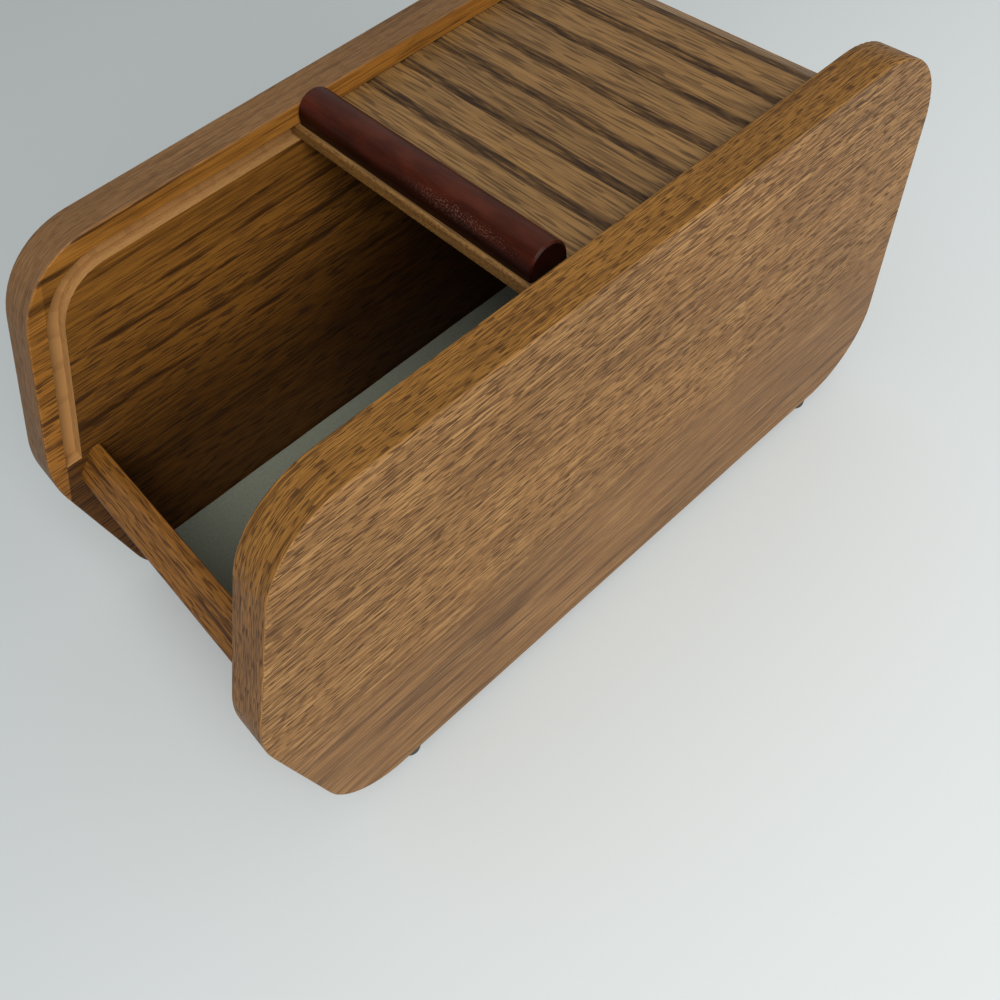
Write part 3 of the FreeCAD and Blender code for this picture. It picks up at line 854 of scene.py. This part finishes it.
@dataclass
class Case:
    """The fixed boards: two shaped sides, the front, floor, inner back, back, bottom and corner rail.

    Sizes in mm.
    """

    face: Oak = Oak("oak_face", shift=(3.0, 40.0, 0.0), ring_strength=0.0)
    lipping: Oak = Oak("oak_lipping", shift=(0.0, 7.0, 0.0), pale=(0.255, 0.112, 0.019),
                       dark=(0.120, 0.048, 0.007), pore=(0.055, 0.021, 0.004),
                       gleam=(0.33, 0.150, 0.030), ring_strength=0.0, band_size=(3.0, 50.0),
                       band_strength=0.45, pore_size=(0.34, 4.4), pore_cut=(0.55, 0.64),
                       line_size=(0.40, 14.0))
    bare: Oak = Oak("oak_groove", shift=(0.0, 90.0, 0.0), pale=(0.45, 0.240, 0.083),
                    dark=(0.32, 0.158, 0.052), pore=(0.22, 0.100, 0.033), ring_strength=0.0,
                    streak_strength=0.4, band_strength=0.1, pore_strength=0.25, gleam_strength=0.1)
    dowel_wood: Oak = Oak("beech_dowel", Grain.ACROSS_BOX, pale=(0.55, 0.40, 0.24),
                          dark=(0.42, 0.28, 0.15), pore=(0.30, 0.19, 0.10), ring_strength=0.0,
                          pore_size=(0.3, 2.0), pore_strength=0.4)
    felt_low: Triple = (-56.2, -123.7, 27.5)
    felt_high: Triple = (56.2, 71.7, 28.5)
    felt_gap: float = 0.6
    felt_cells: tuple[int, int] = (46, 80)
    felt_wave: float = 0.12
    felt_mean: float = 1.5
    felt_swell: Triple = (0.11, 0.07, 0.7)
    felt_ripple: Triple = (0.23, 0.17, 0.5)
    felt_body: float = 0.8
    felt_edge: float = 0.3

    def finishes(self) -> dict[str, Oak | SideWood]:
        """Every board's own cut of oak, by the name of its node."""
        inner = replace(self.face, name="oak_inner_face", pale=(0.215, 0.085, 0.0125),
                        dark=(0.050, 0.018, 0.003), pore=(0.040, 0.014, 0.003),
                        gleam=(0.26, 0.110, 0.020), shift=(-7.0, 15.0, 3.0), heart=(-240.0, 60.0),
                        ring_width=3.4, ring_strength=1.7, streak_strength=0.45, band_strength=0.20,
                        pore_size=(0.60, 9.0), pore_strength=0.7, gleam_strength=0.22)
        right = SideWood("oak_side_right", self.face, replace(inner, shift=(9.0, 55.0, -6.0)),
                         self.lipping, self.bare)
        brown = replace(self.lipping, shift=(4.0, 31.0, 0.0), pale=(0.195, 0.096, 0.033),
                        dark=(0.110, 0.052, 0.018), pore=(0.070, 0.033, 0.012),
                        gleam=(0.23, 0.120, 0.048), pore_strength=0.40)
        left = SideWood("oak_side_left", replace(self.face, shift=(6.0, -70.0, 21.0)), inner, brown,
                        self.bare)
        front = replace(inner, name="oak_front", grain=Grain.ACROSS_BOX, shift=(11.0, 0.0, 0.0),
                        heart=(160.0, 20.0), ring_width=3.6, ring_strength=1.3, band_size=(3.0, 60.0),
                        band_strength=0.9, pore_size=(0.46, 7.0), roughness=0.45, shine=0.2,
                        tone=1.12)
        thin = replace(inner, name="oak_thin_board", shift=(0.0, 60.0, 9.0), heart=(210.0, -60.0),
                       roughness=0.55)
        back = replace(self.face, name="oak_back", grain=Grain.ACROSS_BOX, shift=(0.0, 23.0, 5.0),
                       heart=(190.0, 70.0), ring_width=8.0, ring_strength=0.6)
        return {
            "side_board_right": right,
            "side_board_left": left,
            "front_panel": front,
            "floor_board": thin,
            "inner_back_board": replace(thin, name="oak_inner_back", grain=Grain.ACROSS_BOX),
            "bottom_board": replace(thin, name="oak_bottom", shift=(5.0, 10.0, 0.0)),
            "back_panel": back,
            "corner_rail": replace(back, name="oak_corner_rail", shift=(0.0, 51.0, 2.0)),
            "front_dowels": self.dowel_wood,
        }

    def dress_boards(self) -> None:
        """Gives every board its finish."""
        finishes = self.finishes()
        for node, finish in finishes.items():
            dress(node, finish.material())
        LOG.info("case: %d nodes dressed", len(finishes))

    def felt_rise(self, x: float, y: float) -> float:
        """How far the felt stands off the floor board at a place, in mm."""
        across, along, start = self.felt_swell
        swell = math.sin(x * across + start) * math.sin(y * along)
        across, along, share = self.felt_ripple
        ripple = share * math.sin(x * across - y * along)
        return self.felt_wave * (self.felt_mean + (swell + ripple))

    def lay_felt(self) -> None:
        """Cuts the felt and lays it on the floor board, a little uneven and soft at its edges."""
        low, high = Vector(self.felt_low) * MM, Vector(self.felt_high) * MM
        size = high - low
        flat = (size.x - self.felt_gap * MM, size.y - self.felt_gap * MM)
        columns, rows = self.felt_cells
        deselect()
        bpy.ops.mesh.primitive_grid_add(x_subdivisions=columns, y_subdivisions=rows, size=1.0,
                                        location=(*((low + high) / 2).xy, low.z))
        felt = bpy.context.object
        felt.scale = (*flat, 1.0)
        settle(felt, "felt_lining", Felt().material())
        for vertex in felt.data.vertices:
            vertex.co.z += self.felt_rise(vertex.co.x / MM, vertex.co.y / MM) * MM
        solid = felt.modifiers.new("thickness", "SOLIDIFY")
        solid.thickness = size.z * self.felt_body
        solid.offset = 1.0
        edge = felt.modifiers.new("soft_edge", "BEVEL")
        edge.width = size.z * self.felt_edge
        edge.segments = 2
        edge.limit_method = "ANGLE"
        finish_modifiers(felt)
        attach(felt, "case")
        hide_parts("floor_felt")
        LOG.info("case: felt laid on the floor board")


@dataclass
class Curtain:
    """The slats and the cloth that hinges them. Sizes in mm."""

    slat_finish: Oak = Oak("oak_slat", pale=(0.240, 0.124, 0.035), dark=(0.080, 0.037, 0.010),
                           pore=(0.045, 0.020, 0.006), gleam=(0.29, 0.163, 0.056), ring_strength=0.0,
                           streak_size=(0.85, 46.0), streak_strength=0.50, band_size=(2.0, 90.0),
                           band_strength=0.22, pore_size=(0.66, 13.0), pore_cut=(0.55, 0.64),
                           pore_strength=0.62, line_size=(0.75, 24.0), gleam_strength=0.30,
                           roughness=0.5, relief=0.03)
    slat_shift: Triple = (23.7, 61.3, 7.1)
    turned_light_tone: float = 1.28
    tone_swing: float = 0.07
    tone_turn: Pair = (2.4, 0.5)
    pitch: float = 14.6
    lead_front: float = -17.3
    lead_pitches: int = 2
    cloth_start: float = 12.0
    cloth_line: float = 147.9
    cloth_thickness: float = 0.4
    cloth_half_width: float = 51.5
    cloth_gap: float = 0.12
    cloth_drop: float = 0.02
    cloth_columns: int = 16
    cloth_cell: float = 3.6
    least_rows: int = 3
    bend_turn: float = 30.0
    bends: tuple[str, ...] = ("tail_1", "tail_2", "tail_3", "tail_7", "tail_8", "tail_9")

    def bodies(self) -> list[str]:
        """The bodies that carry slats, lid first."""
        members = frame["record"]["behaviour"]["bodies"]
        return ["lid"] + sorted(name for name in members if name.startswith("tail"))

    def slats_of(self, body: str) -> list[str]:
        """The slat nodes of one body, from the lead backwards."""
        names = [node for node in frame["record"]["behaviour"]["bodies"][body] if "slat" in node]
        return sorted(names, key=lambda name: (name != "lead_slat", name))

    def slat_oak(self, number: int, turn: float) -> Oak:
        """The oak of the slat with this number and turn, lighter by painted light where turned, and a
        little lighter or darker than the next.
        """
        # painted light: a slat turned down over the back is made lighter, as if turned to the light
        tone = 1.0 if turn == 0.0 else self.turned_light_tone
        step, start = self.tone_turn
        tone += self.tone_swing * math.sin(step * number + start)
        shift = tuple(number * step for step in self.slat_shift)
        return replace(self.slat_finish, tone=tone, shift=shift)

    def build(self) -> None:
        """Dresses the slats one after the other along the chain and glues the cloth under them."""
        canvas = Canvas().material()
        y, z, turn = self.lead_front, self.cloth_line, 0.0
        along = 0.0
        number = 0
        for body in self.bodies():
            if body in self.bends:
                turn += self.bend_turn
            start = (y, z, along)
            for node in self.slats_of(body):
                lead = node == "lead_slat"
                width = self.pitch * (self.lead_pitches if lead else 1)
                oak = self.slat_oak(number, turn)
                dress(node, SlatWood("oak_" + node, oak, (0.0, y, z), turn, lead).material())
                number += 1
                y += width * math.cos(math.radians(turn))
                z -= width * math.sin(math.radians(turn))
                along += width
            self.glue_cloth(body, start, turn, along, canvas)
        LOG.info("curtain: %d slats dressed", number)

    def glue_cloth(self, body: str, start: Triple, turn: float, end: float,
                   canvas: bpy.types.Material) -> None:
        """Glues one body's strip of cloth under its slats.

        Args:
            body: the body that the strip moves with.
            start: Y and Z of the strip's front edge, and its length along the curtain so far.
            turn: how far the strip is turned down from level, in degrees.
            end: the length along the curtain at the strip's back edge.
            canvas: its material.
        """
        y, z, along = start
        skip = self.cloth_start if body == "lid" else self.cloth_gap
        length = end - along - skip - self.cloth_gap
        width = 2 * self.cloth_half_width
        rows = max(self.least_rows, round(length / self.cloth_cell))
        deselect()
        bpy.ops.mesh.primitive_grid_add(x_subdivisions=self.cloth_columns, y_subdivisions=rows, size=1.0)
        strip = bpy.context.object
        tilt = Matrix.Rotation(-math.radians(turn), 4, "X")
        middle = Vector((0.0, skip + length / 2, 0.0))
        place = Matrix.Translation(Vector((0.0, y, z))) @ tilt @ Matrix.Translation(middle)
        weave = strip.data.uv_layers.new(name=WEAVE)
        for corner in strip.data.loops:
            at = strip.data.vertices[corner.vertex_index].co
            weave.data[corner.index].uv = (along + skip + (at.y + 0.5) * length, at.x * width)
        for vertex in strip.data.vertices:
            flat = Vector((vertex.co.x * width, vertex.co.y * length, -self.cloth_drop))
            vertex.co = (place @ flat) * MM
        settle(strip, "cloth_" + body, canvas)
        solid = strip.modifiers.new("thickness", "SOLIDIFY")
        solid.thickness = (self.cloth_thickness - 2 * self.cloth_drop) * MM
        solid.offset = -1.0
        finish_modifiers(strip)
        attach(strip, body)
        if body == "lid":
            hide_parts("backing_cloth")
        length * MM
        self.slats_of(body)
        LOG.info("curtain: cloth strip of %s, %.1f mm long", body, length)


@dataclass
class Handle:
    """The half-round bar on the lead slat and its screws."""

    lacquer: Lacquer = Lacquer()
    steel: PlatedSteel = PlatedSteel()

    def dress_bar(self) -> None:
        """Lacquers the bar and plates the screws."""
        dress("handle_bar", self.lacquer.material())
        dress("handle_screws", self.steel.material())
        LOG.info("handle: bar and screws dressed")


@dataclass
class Feet:
    """Four rubber feet and the pins that hold them."""

    rubber: Rubber = Rubber()
    steel: PlatedSteel = PlatedSteel(name="pin_steel")

    def dress_feet(self) -> None:
        """Gives the feet and pins their finishes."""
        rubber = self.rubber.material()
        for node in ("foot_front_left", "foot_front_right", "foot_back_left", "foot_back_right"):
            dress(node, rubber)
        dress("foot_pins", self.steel.material())
        LOG.info("feet: four feet and their pins dressed")


@dataclass
class Table:
    """The pale table top that the box stands on and the daylight over it. Sizes in metres."""

    reach: float = 6.0
    shaded: Triple = (0.50, 0.53, 0.525)
    lit: Triple = (0.775, 0.81, 0.80)
    lit_along: Pair = (0.9, 0.25)
    lit_step: Pair = (-0.35, 0.30)
    roughness: float = 0.75
    shine: float = 0.2
    sky: Triple = (0.95, 0.98, 1.0)
    sky_strength: float = 0.45
    window_strength: float = 45.0
    window_size: float = 1.6
    window_place: Triple = (1.5, -0.5, 1.7)

    def build(self) -> None:
        """Makes the table, the sky and the window's light."""
        self.lay_top()
        self.light_sky()
        self.light_window()

    def lay_top(self) -> None:
        """Makes the table top, lighter on the side of the window."""
        bpy.ops.mesh.primitive_plane_add(size=self.reach)
        top = bpy.context.object
        mix = Recipe("table_top")
        source = mix.node("ShaderNodeTexCoord")
        x, y, _ = mix.parts(source.outputs["Object"])
        slope = (x * self.lit_along[0] + y * self.lit_along[1]).between(*self.lit_step)
        colour = mix.mix(slope, self.shaded, self.lit)
        settle(top, "table_top", mix.finish(colour, self.roughness, None, 0.0, self.shine))

    def light_sky(self) -> None:
        """Sets the level light from all round."""
        world = bpy.data.worlds.new("daylight")
        world.use_nodes = True
        background = world.node_tree.nodes["Background"]
        background.inputs["Color"].default_value = (*self.sky, 1.0)
        background.inputs["Strength"].default_value = self.sky_strength
        bpy.context.scene.world = world

    def light_window(self) -> None:
        """Hangs the window's light."""
        light = bpy.data.lights.new("window", "AREA")
        light.energy = self.window_strength
        light.size = self.window_size
        window = bpy.data.objects.new("window", light)
        window.location = self.window_place
        window.rotation_euler = (-Vector(self.window_place)).to_track_quat("-Z", "Y").to_euler()
        bpy.context.scene.collection.objects.link(window)


@dataclass
class Camera:
    """The viewpoint of the photograph: above the right front corner, looking down along the box.

    Places in metres, the roll in degrees, the lens and the sensor in mm.
    """

    place: Triple = (0.19833, -0.13425, 0.33539)
    aim: Triple = (0.05904, -0.04243, 0.08606)
    roll: float = -10.76
    lens: float = 34.51
    sensor: float = 36.0
    shift: Pair = (-0.0026, -0.0030)
    nearest: float = 0.01

    def build(self) -> None:
        """Sets up the camera."""
        data = bpy.data.cameras.new("view")
        data.lens = self.lens
        data.sensor_width = self.sensor
        data.shift_x, data.shift_y = self.shift
        data.clip_start = self.nearest
        camera = bpy.data.objects.new("view", data)
        towards = (Vector(self.aim) - Vector(self.place)).to_track_quat("-Z", "Y").to_matrix().to_4x4()
        turned = towards @ Matrix.Rotation(math.radians(self.roll), 4, "Z")
        camera.matrix_world = Matrix.Translation(self.place) @ turned
        bpy.context.scene.collection.objects.link(camera)
        bpy.context.scene.camera = camera


def main() -> None:
    """Dresses the frame, adds the modelled pieces, and sets the stage."""
    logging.basicConfig(level=logging.INFO, format="%(message)s")
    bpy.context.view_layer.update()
    bpy.context.scene.view_settings.view_transform = "Standard"
    case = Case()
    case.dress_boards()
    case.lay_felt()
    Curtain().build()
    Handle().dress_bar()
    Feet().dress_feet()
    Table().build()
    Camera().build()


if __name__ == "__main__":
    main()
